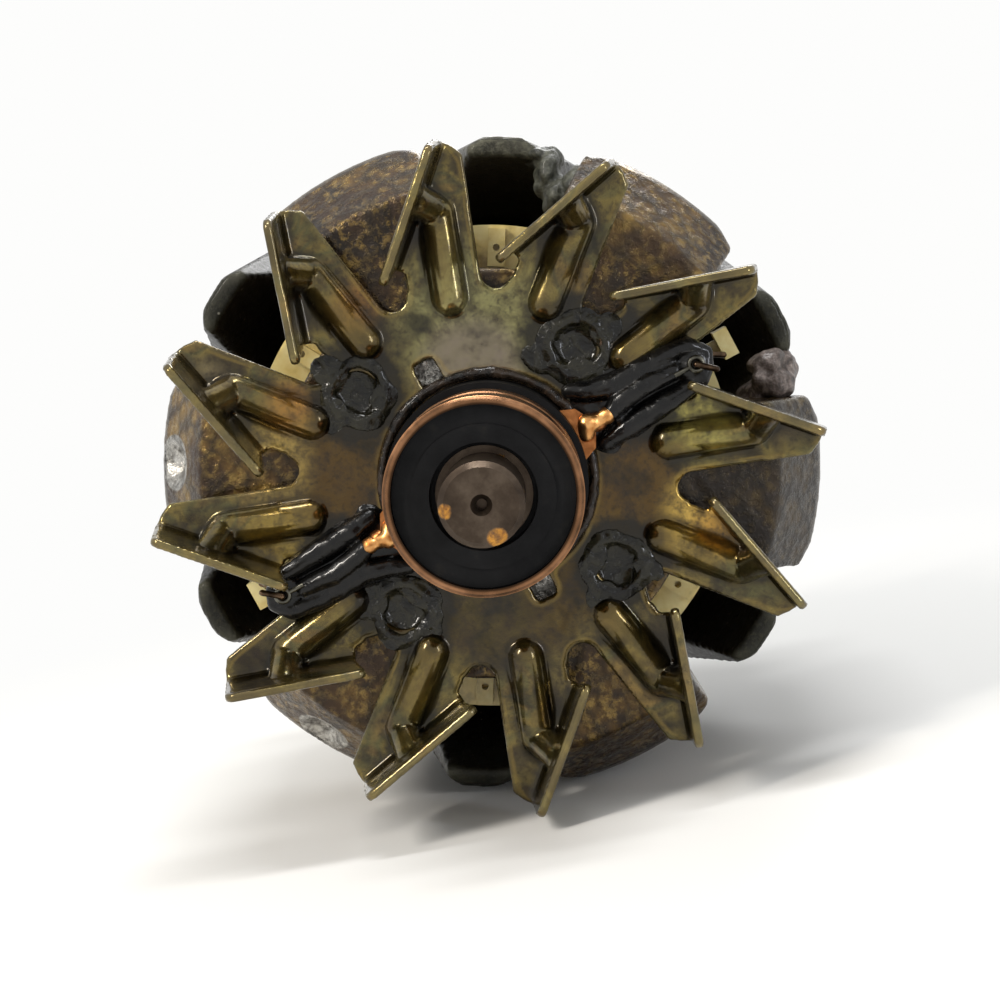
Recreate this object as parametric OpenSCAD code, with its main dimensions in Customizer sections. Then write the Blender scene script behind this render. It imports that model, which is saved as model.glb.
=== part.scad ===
// Claw-pole rotor of a road-vehicle alternator.
// The shaft lies along Y with the slip rings at the -Y end and the pulley seat at the +Y end.
// Every piece is drawn standing up, with its own Z along the shaft towards the slip rings and
// Z = 0 at the drive-end bearing shoulder, and is laid down by on_its_side().

/* [Shaft] */
// Diameter of the slip-ring-end bearing journal
slip_journal_d = 12; // [10:0.5:13]
// Length of the slip-ring-end journal that stands out of the ring moulding
slip_journal_len = 9.5; // [8:0.5:14]
// Diameter of the shaft inside the ring moulding
ring_shaft_d = 14; // [13.5:0.5:15]
// Diameter of the shaft through the poles
pole_shaft_d = 20.5; // [18.5:0.5:24]
// Diameter of the drive-end bearing journal
drive_journal_d = 17; // [15:0.5:18]
// Length of the drive-end bearing journal
drive_journal_len = 15; // [12:0.5:20]
// Length of the pulley seat
pulley_seat_len = 23; // [16:0.5:30]
// Diameter of the pulley seat
pulley_seat_d = 15; // [13.5:0.1:15.5]
// Root diameter of the pulley nut thread
thread_root_d = 12.2; // [11:0.1:13]
// Length of the pulley nut thread
thread_len = 17; // [12:0.5:24]

/* [Poles] */
// Outside diameter over the claws
rotor_d = 106; // [98:0.5:120]
// Length over the outer faces of both pole pieces
pole_stack = 60; // [50:0.5:72]
// Thickness of the plate of a pole piece
plate_t = 12; // [10:0.5:15]
// Width of a lobe near its outside and of the root of its claw
lobe_w = 27.4; // [24:0.1:29]
// Draft of the sides of a lobe, in degrees
lobe_draft = 5; // [0:0.5:8]
// Width of a claw at its tip
tip_w = 10.4; // [8:0.1:12]
// Thickness of a claw at its tip
tip_t = 3.2; // [2.5:0.1:4.5]
// Thickness of a claw at its root
root_t = 13; // [10:0.5:14]
// Distance from a claw's tip to the outer face of the other pole piece
tip_setback = 12.5; // [8:0.5:16]
// Length of the sloping shoulder along the shaft
shoulder_len = 11; // [8:0.5:11.5]
// Radius at the bottom of the valleys between the lobes
valley_r = 32.2; // [30:0.1:33]
// Height of the sloping shoulder across the shaft
shoulder_h = 8; // [4:0.5:9]
// Depth of the bevel along the edges of a claw, measured down its side
claw_bevel = 3; // [1.5:0.1:3.5]
// Depth of the same bevel at the tip of a claw
tip_bevel = 1.4; // [0.8:0.1:2]
// Diameter of the balancing drill pits
pit_d = 8.8; // [6:0.1:9]

/* [Coil] */
// Diameter of the iron core inside the coil
core_d = 53; // [48:0.5:54]
// Wall of the bobbin tube and of its flanges
bobbin_t = 1.3; // [1:0.1:2]
// Clearance between the bobbin flanges and the roots of the claws
flange_gap = 1; // [0.5:0.1:4]
// Height of the winding crown above its edges
coil_crown = 2; // [1:0.1:3]
// Thickness of the tape wrapped round the winding
tape_t = 0.8; // [0.5:0.1:1.2]

/* [Slip rings] */
// Outside diameter of the slip rings
ring_d = 28.6; // [27.5:0.1:29.5]
// Wall of the slip rings
ring_wall = 1.2; // [0.8:0.1:1.6]
// Width of each slip ring
ring_w = 7.5; // [6:0.1:8.5]
// Width of the moulding's rib between the slip rings
ring_rib_w = 2.6; // [1.5:0.1:3.5]
// Length of the moulding past the front of the fan
moulding_len = 24; // [21:0.5:28]
// Radial space round the journal in the end of the moulding
recess_gap = 1.7; // [1.2:0.1:2]

/* [Slip-end fan] */
// Thickness of the fan sheet
sheet_t = 1.4; // [1:0.1:1.8]
// Height at which the fan stands off the pole face on its weld dimples
fan_standoff = 3.6; // [2.5:0.1:5]
// Radius to the tips of the fan fingers
finger_tip_r = 52; // [48:0.1:52.5]
// Height of the fan blades above the fan plate
blade_h = 12.4; // [9:0.1:14]
// Width of the stiffening bead on a finger
bead_w = 5.6; // [4:0.1:6]
// Width of the slots between the fingers
slot_w = 4.5; // [3.5:0.1:5]
// Inside radius of the fold between a finger and its blade
fold_r = 1.2; // [0.6:0.1:2]

/* [Drive-end fan] */
// Number of blades on the drive-end fan
drive_blades = 10; // [8:1:12]
// Height of the drive-end blades above their plate
drive_blade_h = 8; // [6:0.1:12]
// Radius to the blade tips of the drive-end fan
drive_fan_r = 50; // [46:0.5:51]

/* [Hidden] */
$fn = 96;

// Six claws a side, and twelve fan fingers: two to each claw.
claws = 6;
pitch = 360 / claws;
fingers = 2 * claws;
finger_pitch = 360 / fingers;
// Turn about the shaft at which the rotor lies still, with a gap between two claws underneath.
rest_turn = -9.6;
slip_claw_angle = -2;
drive_claw_angle = slip_claw_angle + pitch / 2;
finger_angle = 8.8;
lead_angle = drive_claw_angle + 0.5;
// Clearance between pressed or sliding round parts.
fit = 0.05;
// Overlap that lets one cut pass another face.
cut = 1;

// Stations along the shaft, from the drive end to the slip end.
collar_len = 6.6;
drive_face = collar_len + sheet_t;
slip_face = drive_face + pole_stack;
fan_back = slip_face + fan_standoff;
fan_front = fan_back + sheet_t;
moulding_end = fan_front + moulding_len;
ring_front = moulding_end + 1;
shaft_end = ring_front + slip_journal_len;
seat_start = -drive_journal_len;
seat_end = seat_start - pulley_seat_len;
shaft_start = seat_end - thread_len;
recess_depth = 3.5;

rotor_r = rotor_d / 2;
pole_bore_r = pole_shaft_d / 2 + fit;
claw_len = pole_stack - tip_setback;
claw_taper = atan((lobe_w - tip_w) / 2 / (claw_len - plate_t));
core_len = pole_stack - 2 * plate_t;
spool_r = core_d / 2 + fit + bobbin_t;
flange_r = rotor_r - root_t - flange_gap;
coil_edge_r = flange_r - 2.5;
post_at_r = flange_r + 3.5;
post_h = 2.6;
moulding_base_r = ring_d / 2 + 0.9;

module on_its_side() {
    rotate([90, 0, 0]) rotate([0, 0, rest_turn]) children();
}

module tube(r_out, r_in, h) {
    difference() {
        cylinder(r = r_out, h = h);
        translate([0, 0, -cut]) cylinder(r = r_in, h = h + 2 * cut);
    }
}

// Turns a piece drawn along Z so that it starts at one point and runs towards another.
module along(from, to) {
    span = to - from;
    translate(from) rotate([0, acos(span[2] / norm(span)), atan2(span[1], span[0])]) children();
}

// Bar with round ends, turned in one piece.
module bar(from, to, r) {
    len = norm(to - from);
    along(from, to) rotate_extrude($fn = 48) intersection() {
        union() {
            circle(r = r);
            translate([0, len]) circle(r = r);
            square([r, len]);
        }
        translate([0, -r]) square([r, len + 2 * r]);
    }
}

// Bent wire through a list of points; every other length is a little thinner, so that no two
// round ends at a bend are the same ball.
module wire(points, r) {
    thinner = 0.94;
    for (i = [1 : len(points) - 1])
        bar(points[i - 1], points[i], i % 2 == 0 ? thinner * r : r);
}

// ---- Shaft ----

module shaft_turning() {
    chamfer = 0.8;
    relief = 0.4;
    jr = slip_journal_d / 2;
    dr = drive_journal_d / 2;
    rotate_extrude() polygon([
        [0, shaft_start],
        [thread_root_d / 2 - chamfer, shaft_start],
        [thread_root_d / 2, shaft_start + chamfer],
        [thread_root_d / 2, seat_end],
        [pulley_seat_d / 2 - chamfer, seat_end],
        [pulley_seat_d / 2, seat_end + chamfer],
        [pulley_seat_d / 2, seat_start],
        [dr - relief, seat_start],
        [dr, seat_start + relief],
        [dr, 0],
        [pole_shaft_d / 2, 0],
        [pole_shaft_d / 2, slip_face],
        [ring_shaft_d / 2, slip_face],
        [ring_shaft_d / 2, moulding_end - recess_depth],
        [jr, moulding_end - recess_depth],
        [jr, shaft_end - chamfer],
        [jr - chamfer, shaft_end],
        [0, shaft_end]]);
}

// Centre drilling, as deep as it is wide.
slip_centre_d = 3;
drive_centre_d = 5;

module centre_hole(d) {
    rotate_extrude() polygon([
        [0, -d], [d / 4, -d], [d / 4, -d / 2], [d / 2, 0], [d / 2, cut], [0, cut]]);
}

module shaft() {
    color("#7a6a58") on_its_side() difference() {
        shaft_turning();
        translate([0, 0, shaft_end]) centre_hole(slip_centre_d);
        translate([0, 0, shaft_start]) mirror([0, 0, 1]) centre_hole(drive_centre_d);
    }
}

// ---- Pole pieces ----

// One pole piece turned as a whole ring: outer face at Z = 0, claws hanging below it.
module pole_turning() {
    face_r = rotor_r - shoulder_h;
    rotate_extrude() polygon([
        [0, 0], [face_r, 0], [rotor_r, -shoulder_len], [rotor_r, -claw_len],
        [rotor_r - tip_t, -claw_len], [rotor_r - root_t, -plate_t], [0, -plate_t]]);
}

// Plan of one lobe and its tapering claw, standing out along X.
module claw_plan() {
    rotate([90, 0, 90])
        linear_extrude(rotor_r + cut)
            polygon([
                [-lobe_w / 2, cut], [-lobe_w / 2, -plate_t], [-tip_w / 2, -claw_len - cut],
                [tip_w / 2, -claw_len - cut], [lobe_w / 2, -plate_t], [lobe_w / 2, cut]]);
}

// Outline of a lobe seen along the shaft: with its draft it is widest a little below the bevels.
module lobe_outline() {
    widest_r = rotor_r - claw_bevel - cut;
    half_root = lobe_w / 2 - widest_r * tan(lobe_draft);
    half_end = lobe_w / 2 + (rotor_r + cut - widest_r) * tan(lobe_draft);
    translate([0, 0, -claw_len - cut]) linear_extrude(claw_len + 2 * cut)
        polygon([
            [0, -half_root], [rotor_r + cut, -half_end], [rotor_r + cut, half_end], [0, half_root]]);
}

// Bevel down the side of a lobe, and on along the slanting edge of its claw.
module edge_bevel(side) {
    bevel_turn = 30;
    rise = atan((claw_bevel - tip_bevel) / (claw_len - plate_t));
    block = [4 * claw_bevel, 4 * lobe_w, 2 * claw_len];
    translate([rotor_r - claw_bevel, side * lobe_w / 2, -plate_t]) {
        rotate([0, 0, side * bevel_turn]) translate([0, -2 * lobe_w, -cut]) cube(block);
        rotate([-side * claw_taper, -rise, 0]) rotate([0, 0, side * bevel_turn])
            translate([0, -2 * lobe_w, cut - block[2]]) cube(block);
    }
}

module pole_piece() {
    difference() {
        intersection() {
            pole_turning();
            union() {
                translate([0, 0, -plate_t - cut]) cylinder(r = valley_r, h = plate_t + 2 * cut);
                for (i = [0 : claws - 1]) rotate([0, 0, i * pitch]) difference() {
                    intersection() {
                        claw_plan();
                        lobe_outline();
                    }
                    edge_bevel(1);
                    edge_bevel(-1);
                }
            }
        }
        translate([0, 0, -plate_t - cut]) cylinder(r = pole_bore_r, h = plate_t + 2 * cut);
    }
}

// Pit left by a drill that took weight off a lobe, square to the shoulder.
pit_depth = 2.6;
pit_drop = 7.6;

module balance_pit(angle) {
    slope = atan(shoulder_h / shoulder_len);
    pit_r = rotor_r - shoulder_h * (1 - pit_drop / shoulder_len);
    rotate([0, 0, angle])
        translate([pit_r, 0, -pit_drop])
            rotate([0, 90 - slope, 0])
                translate([0, 0, -pit_depth])
                    cylinder(r1 = 0.6, r2 = pit_d / 2, h = pit_depth + 0.4, $fn = 48);
}

module slip_end_pole() {
    color("#5b4a36") on_its_side() translate([0, 0, slip_face]) difference() {
        rotate([0, 0, slip_claw_angle]) pole_piece();
        for (angle = [178.6, 237.5]) balance_pit(angle);
    }
}

module drive_end_pole() {
    color("#33322f") on_its_side() translate([0, 0, drive_face]) mirror([0, 0, 1])
        rotate([0, 0, drive_claw_angle]) pole_piece();
}

module pole_core() {
    color("#3a3835") on_its_side() translate([0, 0, drive_face + plate_t])
        tube(core_d / 2, pole_bore_r, core_len);
}

// ---- Bobbin and field coil ----

tab_w = 2.7;
tab_inner_r = valley_r + 0.2;
tab_outer_r = flange_r - 0.6;
tab_h = 2.2;
post_w = 4.7;
post_t = 2.4;
post_arm_w = 2.2;

// Tab on the flange that keys the bobbin between two lobes.
module bobbin_tab(angle, hole_d) {
    rotate([0, 0, angle]) difference() {
        translate([tab_inner_r, -tab_w / 2, 0]) cube([tab_outer_r - tab_inner_r, tab_w, tab_h]);
        translate([(tab_inner_r + tab_outer_r) / 2, 0, -cut])
            cylinder(d = hole_d, h = tab_h + 2 * cut, $fn = 24);
    }
}

// Post beyond the flange round which the end of the winding is hooked.
module bobbin_post(angle) {
    arm_start = flange_r - 1;
    rotate([0, 0, angle]) translate([0, 0, -bobbin_t]) {
        translate([arm_start, -post_arm_w / 2, 0]) cube([post_at_r - arm_start, post_arm_w, bobbin_t]);
        translate([post_at_r - post_t / 2, -post_w / 2, 0]) cube([post_t, post_w, bobbin_t + post_h]);
    }
}

module coil_bobbin() {
    color("#d9cf9a") on_its_side() translate([0, 0, drive_face + plate_t]) {
        tube(spool_r, core_d / 2 + fit, core_len);
        tube(flange_r, spool_r - fit, bobbin_t);
        translate([0, 0, core_len - bobbin_t]) tube(flange_r, spool_r - fit, bobbin_t);
        translate([0, 0, core_len]) {
            for (i = [1, 2, 4, 5]) bobbin_tab(lead_angle + i * pitch, 1.1);
            for (i = [0, 1]) bobbin_post(lead_angle + i * 180);
        }
    }
}

module coil_profile(r_edge, r_crown, r_in) {
    half = core_len / 2 - bobbin_t;
    rotate_extrude() polygon([
        [r_in, -half], [r_edge, -half], [r_crown, 0], [r_edge, half], [r_in, half]]);
}

module field_coil() {
    color("#8a4b24") on_its_side() translate([0, 0, drive_face + pole_stack / 2])
        coil_profile(coil_edge_r, coil_edge_r + coil_crown, spool_r);
}

module coil_tape() {
    color("#5d4a36") on_its_side() translate([0, 0, drive_face + pole_stack / 2]) difference() {
        coil_profile(coil_edge_r + tape_t, coil_edge_r + coil_crown + tape_t, coil_edge_r - 3);
        coil_profile(coil_edge_r, coil_edge_r + coil_crown, coil_edge_r - 4);
    }
}

// ---- Slip-end fan ----

hub_hole_r = moulding_base_r + 1.2;
window_angles = [119.4, 296.8];
window_w = 3.4;
window_r = hub_hole_r + 4;

dimple_angle = 57;
dimple_d = 10;
dimple_at_r = hub_hole_r + dimple_d / 2 + 2.5;
dimple_taper = 1.6;

slot_bottom_r = dimple_at_r + dimple_d / 2 + 0.2;
slot_centre_r = slot_bottom_r + slot_w / 2;
finger_right_y = -3.65;
finger_left_y = 7.85;
finger_nose = 2.8;
bead_y = 1.5;
bead_start_r = slot_bottom_r - 1;
bead_foot_r = 41;

// A blade stands on the slanting edge of its finger: where the fold starts, its direction and length.
bend_outer = [finger_tip_r, 0.3];
bend_angle = 152;
bend_len = (finger_tip_r - slot_centre_r - 2.6) / cos(180 - bend_angle);
fold_out_r = fold_r + sheet_t;
lean_out_slip = 1.5;
lean_in_slip = 2.6;

module finger_outline() {
    along_bend = [cos(bend_angle), sin(bend_angle)];
    across_bend = [-sin(bend_angle), cos(bend_angle)];
    plate_outer = bend_outer + fold_out_r * across_bend;
    plate_inner = plate_outer + bend_len * along_bend;
    polygon([
        [slot_bottom_r - 2, finger_right_y], [finger_tip_r - finger_nose, finger_right_y],
        plate_outer, plate_inner, [slot_centre_r - 0.4, finger_left_y],
        [slot_bottom_r - 2, 0.7 * finger_left_y]]);
}

module slot_outline() {
    slot_y = finger_right_y - slot_w / 2;
    slot_x = sqrt(slot_centre_r * slot_centre_r - slot_y * slot_y);
    translate([slot_x, slot_y]) {
        circle(d = slot_w, $fn = 32);
        translate([0, -slot_w / 2]) square([8, slot_w]);
    }
}

// Fold from a flat edge up into a blade, with X along the fold and Y towards the flat; the
// leg is the flat kept past each end of the curve.
module fold(length, leg) {
    rotate([90, 0, 90]) linear_extrude(length) difference() {
        union() {
            translate([fold_out_r, fold_out_r]) circle(r = fold_out_r, $fn = 48);
            translate([fold_out_r, 0]) square(2 * fold_out_r);
            translate([0, fold_out_r]) square(2 * fold_out_r);
        }
        translate([fold_out_r, fold_out_r]) circle(r = fold_r, $fn = 48);
        translate([fold_out_r, sheet_t]) square(3 * fold_out_r);
        translate([sheet_t, fold_out_r]) square(3 * fold_out_r);
        translate([fold_out_r + leg, -cut]) square(3 * fold_out_r);
        translate([-cut, fold_out_r + leg]) square(3 * fold_out_r);
    }
}

// Upright blade on its fold; its two ends lean in towards the shaft by lean_out and lean_in.
module blade(length, height, lean_out, lean_in, leg = 0) {
    corner = 0.9;
    low = fold_out_r;
    high = height - corner;
    fold(length, leg);
    rotate([90, 0, 0]) translate([0, 0, -sheet_t]) linear_extrude(sheet_t)
        polygon(concat(
            [[0, low], [length, low]],
            leg > 0 ? [[length, low + leg]] : [],
            [[length + lean_in, high], [length + lean_in - corner, height],
             [lean_out + corner, height], [lean_out, high]],
            leg > 0 ? [[0, low + leg]] : []));
}

module on_bend_line() {
    translate(bend_outer) rotate([0, 0, bend_angle]) children();
}

// Pressed bead that runs out along a finger and up on to the foot of its blade.
module bead_path(r) {
    mid = sheet_t / 2;
    foot = [bead_foot_r, bead_y, mid];
    bar([bead_start_r, bead_y, mid], foot, r);
    bar(foot + [0.4, 0.2, 0.2], foot + [2.4, 3.1, 5.2], 0.9 * r);
}

module finger_bead() {
    r = bead_w / 2;
    difference() {
        bead_path(r);
        translate([0, -2 * r, sheet_t / 2 - 3 * r]) cube([finger_tip_r, 4 * r, 3 * r]);
        on_bend_line() translate([-cut, -3 * r, -3 * r])
            cube([bend_len + lean_in_slip + 4 * cut, 3 * r + sheet_t / 2, blade_h + 3 * r]);
    }
}

module slip_fan_plate() {
    linear_extrude(sheet_t) difference() {
        union() {
            circle(r = slot_centre_r - 0.4);
            for (i = [0 : fingers - 1]) rotate(i * finger_pitch) finger_outline();
        }
        for (i = [0 : fingers - 1]) rotate(i * finger_pitch) slot_outline();
        circle(r = hub_hole_r);
        for (angle = window_angles) rotate(angle - finger_angle)
            translate([0, -window_w / 2]) square([window_r, window_w]);
    }
}

// Cup pressed down from the plate to the pole face, where the fan is welded.
module weld_dimple() {
    h = fan_standoff + sheet_t;
    r = dimple_d / 2;
    difference() {
        cylinder(r1 = r - dimple_taper, r2 = r, h = h, $fn = 48);
        translate([0, 0, sheet_t])
            cylinder(r1 = r - dimple_taper - sheet_t + 0.2, r2 = r - 1, h = h, $fn = 48);
    }
}

module at_weld_dimples() {
    for (i = [0 : 3]) rotate([0, 0, dimple_angle + i * 90])
        translate([dimple_at_r, 0, slip_face]) children();
}

module slip_end_fan() {
    hollow_z = sheet_t / 2 - 0.4;
    color("#8a7a34") on_its_side() {
        difference() {
            translate([0, 0, fan_back]) rotate([0, 0, finger_angle]) difference() {
                union() {
                    slip_fan_plate();
                    for (i = [0 : fingers - 1]) rotate([0, 0, i * finger_pitch]) {
                        on_bend_line()
                            blade(bend_len, sheet_t + blade_h, lean_out_slip, lean_in_slip);
                        finger_bead();
                    }
                }
                for (i = [0 : fingers - 1]) rotate([0, 0, i * finger_pitch])
                    bar([bead_start_r, bead_y, hollow_z], [bead_foot_r, bead_y, hollow_z],
                        bead_w / 2 - sheet_t);
            }
            at_weld_dimples() cylinder(r = dimple_d / 2 - 0.6, h = fan_standoff + 2 * sheet_t, $fn = 48);
        }
        at_weld_dimples() weld_dimple();
    }
}

// ---- Drive-end fan and collar ----

drive_hub_r = 32;
drive_pitch = 360 / drive_blades;
drive_bend_outer = [drive_fan_r, 0.3];
drive_bend_inner = [drive_fan_r - 16, 9];

module drive_end_fan() {
    span = drive_bend_inner - drive_bend_outer;
    bend_turn = atan2(span[1], span[0]);
    across = fold_out_r * [-sin(bend_turn), cos(bend_turn)];
    color("#8a7a34") on_its_side() translate([0, 0, drive_face]) mirror([0, 0, 1]) {
        linear_extrude(sheet_t) difference() {
            union() {
                circle(r = drive_hub_r);
                for (i = [0 : drive_blades - 1]) rotate(i * drive_pitch)
                    polygon([
                        [drive_hub_r - 6, -6], [drive_fan_r - 2.6, -5], drive_bend_outer + across,
                        drive_bend_inner + across, [drive_hub_r - 6, 8]]);
            }
            circle(r = pole_bore_r);
        }
        for (i = [0 : drive_blades - 1]) rotate([0, 0, i * drive_pitch])
            translate(drive_bend_outer) rotate([0, 0, bend_turn])
                blade(norm(span), sheet_t + drive_blade_h, 2, 0, 0.5);
    }
}

module drive_end_collar() {
    collar_r = pole_bore_r + 2.9;
    chamfer = 0.5;
    color("#8d8a84") on_its_side() rotate_extrude() polygon([
        [pole_bore_r, 0], [collar_r - chamfer, 0], [collar_r, chamfer], [collar_r, collar_len],
        [pole_bore_r, collar_len]]);
}

// ---- Slip rings, their moulding and leads ----

outer_ring_back = ring_front - ring_w;
inner_ring_front = outer_ring_back - ring_rib_w;
inner_ring_back = inner_ring_front - ring_w;
ring_bore_r = ring_d / 2 - ring_wall;

module ring_moulding() {
    bore_r = ring_shaft_d / 2 + fit;
    recess_r = slip_journal_d / 2 + recess_gap;
    seat_r = ring_bore_r - fit;
    rib_r = ring_d / 2 - 0.5;
    face_step = 0.4;
    step_r = 10.3;
    color("#1d1d1f") on_its_side() rotate_extrude() polygon([
        [bore_r, slip_face], [moulding_base_r, slip_face], [moulding_base_r, inner_ring_back],
        [seat_r, inner_ring_back], [seat_r, inner_ring_front], [rib_r, inner_ring_front],
        [rib_r, outer_ring_back], [seat_r, outer_ring_back], [seat_r, moulding_end - face_step],
        [step_r, moulding_end - face_step], [step_r, moulding_end], [recess_r, moulding_end],
        [recess_r, moulding_end - recess_depth], [bore_r, moulding_end - recess_depth]]);
}

module slip_ring(back) {
    edge = 0.5;
    r = ring_d / 2;
    color("#b87848") on_its_side() translate([0, 0, back]) rotate_extrude() polygon([
        [ring_bore_r, 0], [r - edge, 0], [r, edge], [r, ring_w - edge], [r - edge, ring_w],
        [ring_bore_r, ring_w]]);
}

module outer_slip_ring() {
    slip_ring(outer_ring_back);
}

module inner_slip_ring() {
    slip_ring(inner_ring_back);
}

lug_end_r = moulding_base_r + 5.2;
lug_r = 1.5;
lug_neck_w = 2.2;
lug_base_w = 8.8;
lug_z = fan_front + 2.2;
sleeve_t = 3.4;
sleeve_start_r = lug_end_r - 0.4;
eyelet_at = [slot_bottom_r + 6.9, 0.6];
eyelet_r = 1;
eyelet_wire_r = 0.4;
eyelet_stem = 2.6;
eyelet_z = fan_front + 2.5;

module at_lead(side) {
    on_its_side() rotate([0, 0, lead_angle + side * 180]) children();
}

// Flared copper lug that brings a ring's current out of the foot of the moulding.
module ring_lug(side) {
    thick = 1.2;
    flare_r = moulding_base_r + 1.6;
    neck_r = lug_end_r - 2.4;
    color("#b86a3c") at_lead(side) difference() {
        union() {
            translate([0, 0, lug_z - thick / 2]) linear_extrude(thick)
                polygon([
                    [moulding_base_r - cut, -lug_base_w / 2], [flare_r, -0.38 * lug_base_w],
                    [neck_r, -lug_neck_w / 2], [neck_r + cut, -lug_neck_w / 2],
                    [neck_r + cut, lug_neck_w / 2], [neck_r, lug_neck_w / 2],
                    [flare_r, 0.38 * lug_base_w], [moulding_base_r - cut, lug_base_w / 2]]);
            bar([neck_r + 0.6, 0, lug_z], [lug_end_r - lug_r, 0, lug_z], lug_r);
        }
        translate([0, 0, fan_front]) cylinder(r = moulding_base_r + fit, h = 2 * lug_z - 2 * fan_front);
    }
}

module ring_lug_a() {
    ring_lug(0);
}

module ring_lug_b() {
    ring_lug(1);
}

// One swelling of a sleeve: a flattened ball on the face of the fan.
module sleeve_swelling(at, r) {
    translate([at[0], at[1], fan_front + sleeve_t / 2]) scale([1, 1, sleeve_t / 2 / r])
        sphere(r = r, $fn = 24);
}

// Varnished sleeve over a lead, lying on the face of the fan, with a pocket for the eyelet.
module lead_sleeve(side) {
    wide_r = 4.2;
    color("#1a1a1c") at_lead(side) difference() {
        hull() {
            sleeve_swelling([sleeve_start_r + wide_r, -0.2], wide_r);
            sleeve_swelling([eyelet_at[0] - 5, 0.5], 3.4);
            sleeve_swelling([eyelet_at[0] - 0.1, eyelet_at[1] + 1], 2.8);
        }
        translate([0, 0, lug_z]) rotate([0, 90, 0])
            cylinder(r = lug_r + fit, h = lug_end_r + fit, $fn = 24);
        translate([eyelet_at[0], eyelet_at[1], fan_front - cut])
            cylinder(r = eyelet_r + eyelet_wire_r + fit, h = sleeve_t + 2 * cut, $fn = 24);
        translate([eyelet_at[0] - eyelet_r - eyelet_stem - fit, eyelet_at[1], eyelet_z])
            rotate([0, 90, 0]) cylinder(r = eyelet_wire_r + fit, h = eyelet_stem, $fn = 16);
    }
}

module lead_sleeve_a() {
    lead_sleeve(0);
}

module lead_sleeve_b() {
    lead_sleeve(1);
}

// Eyelet at the outer end of a lead, where the end of the winding is hooked in.
module lead_eyelet(side) {
    color("#6f6a62") at_lead(side) translate([eyelet_at[0], eyelet_at[1], eyelet_z]) {
        rotate_extrude($fn = 32) translate([eyelet_r, 0]) circle(r = eyelet_wire_r, $fn = 16);
        translate([-eyelet_r - eyelet_stem, 0, 0]) rotate([0, 90, 0])
            cylinder(r = 0.94 * eyelet_wire_r, h = eyelet_stem, $fn = 16);
    }
}

module lead_eyelet_a() {
    lead_eyelet(0);
}

module lead_eyelet_b() {
    lead_eyelet(1);
}

// End of the winding, from the bobbin's post up through the fan and the eyelet.
module coil_lead(side) {
    wire_r = 0.5;
    post_top = slip_face - plate_t + post_h + wire_r;
    at_post = [post_at_r - 1.2, -1.4, post_top];
    in_slot = [post_at_r - 3.1, -0.2, post_top + 1.5];
    eye = [eyelet_at[0], eyelet_at[1]];
    color("#8d4f28") at_lead(side)
        wire([at_post, in_slot, [eye[0], eye[1], fan_front - 0.5],
            [eye[0], eye[1], eyelet_z + 0.9], [eye[0] + 2.3, eye[1] - 2, eyelet_z + 1.5]], wire_r);
}

module coil_lead_a() {
    coil_lead(0);
}

module coil_lead_b() {
    coil_lead(1);
}

shaft();
slip_end_pole();
drive_end_pole();
pole_core();
coil_bobbin();
field_coil();
coil_tape();
slip_end_fan();
drive_end_fan();
drive_end_collar();
ring_moulding();
outer_slip_ring();
inner_slip_ring();
ring_lug_a();
ring_lug_b();
lead_sleeve_a();
lead_sleeve_b();
lead_eyelet_a();
lead_eyelet_b();
coil_lead_a();
coil_lead_b();
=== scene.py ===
# Looks of a claw-pole alternator rotor, laid out as an add-on and run as a script.

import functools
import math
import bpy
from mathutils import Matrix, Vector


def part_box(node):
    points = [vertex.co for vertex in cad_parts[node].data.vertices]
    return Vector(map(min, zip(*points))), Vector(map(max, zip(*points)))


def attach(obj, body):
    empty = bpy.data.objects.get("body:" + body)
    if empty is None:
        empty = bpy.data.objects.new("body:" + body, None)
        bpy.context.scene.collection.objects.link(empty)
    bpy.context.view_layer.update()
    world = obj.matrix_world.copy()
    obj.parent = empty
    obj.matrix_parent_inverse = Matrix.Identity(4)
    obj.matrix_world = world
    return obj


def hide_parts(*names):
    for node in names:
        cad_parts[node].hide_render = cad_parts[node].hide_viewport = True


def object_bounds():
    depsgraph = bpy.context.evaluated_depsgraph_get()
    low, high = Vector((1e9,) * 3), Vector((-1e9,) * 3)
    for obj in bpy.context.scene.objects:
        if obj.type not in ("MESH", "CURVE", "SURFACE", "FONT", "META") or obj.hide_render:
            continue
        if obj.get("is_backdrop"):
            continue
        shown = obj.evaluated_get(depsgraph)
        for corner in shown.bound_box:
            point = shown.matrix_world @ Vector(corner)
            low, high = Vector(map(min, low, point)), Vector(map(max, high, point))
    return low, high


bl_info = {
    "name": "Claw-pole rotor looks",
    "version": (1, 0, 0),
    "blender": (4, 5, 0),
    "location": "3D View > Sidebar > Rotor",
    "description": "Finishes, small parts, varnish and a studio for a claw-pole alternator rotor",
    "category": "Object",
}

import bmesh
import bpy
from mathutils import Matrix, Vector, noise

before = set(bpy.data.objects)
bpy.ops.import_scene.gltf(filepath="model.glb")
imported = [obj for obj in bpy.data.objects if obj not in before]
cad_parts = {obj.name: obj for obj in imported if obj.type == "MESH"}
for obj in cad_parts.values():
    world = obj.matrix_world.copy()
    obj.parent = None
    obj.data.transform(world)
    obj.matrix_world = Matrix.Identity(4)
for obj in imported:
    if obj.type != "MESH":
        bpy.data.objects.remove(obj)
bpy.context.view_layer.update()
MM = 0.001

# The turn of the poles about the shaft, and the faces that the small pieces lie on, in metres.
REST_TURN = math.radians(-9.6)
FAN_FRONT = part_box("lead_sleeve_a")[1].y
POLE_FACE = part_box("slip_end_pole")[0].y
SHAFT_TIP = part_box("shaft")[0].y
THREAD_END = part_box("shaft")[1].y


# ---- Places on the rotor ----

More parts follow.
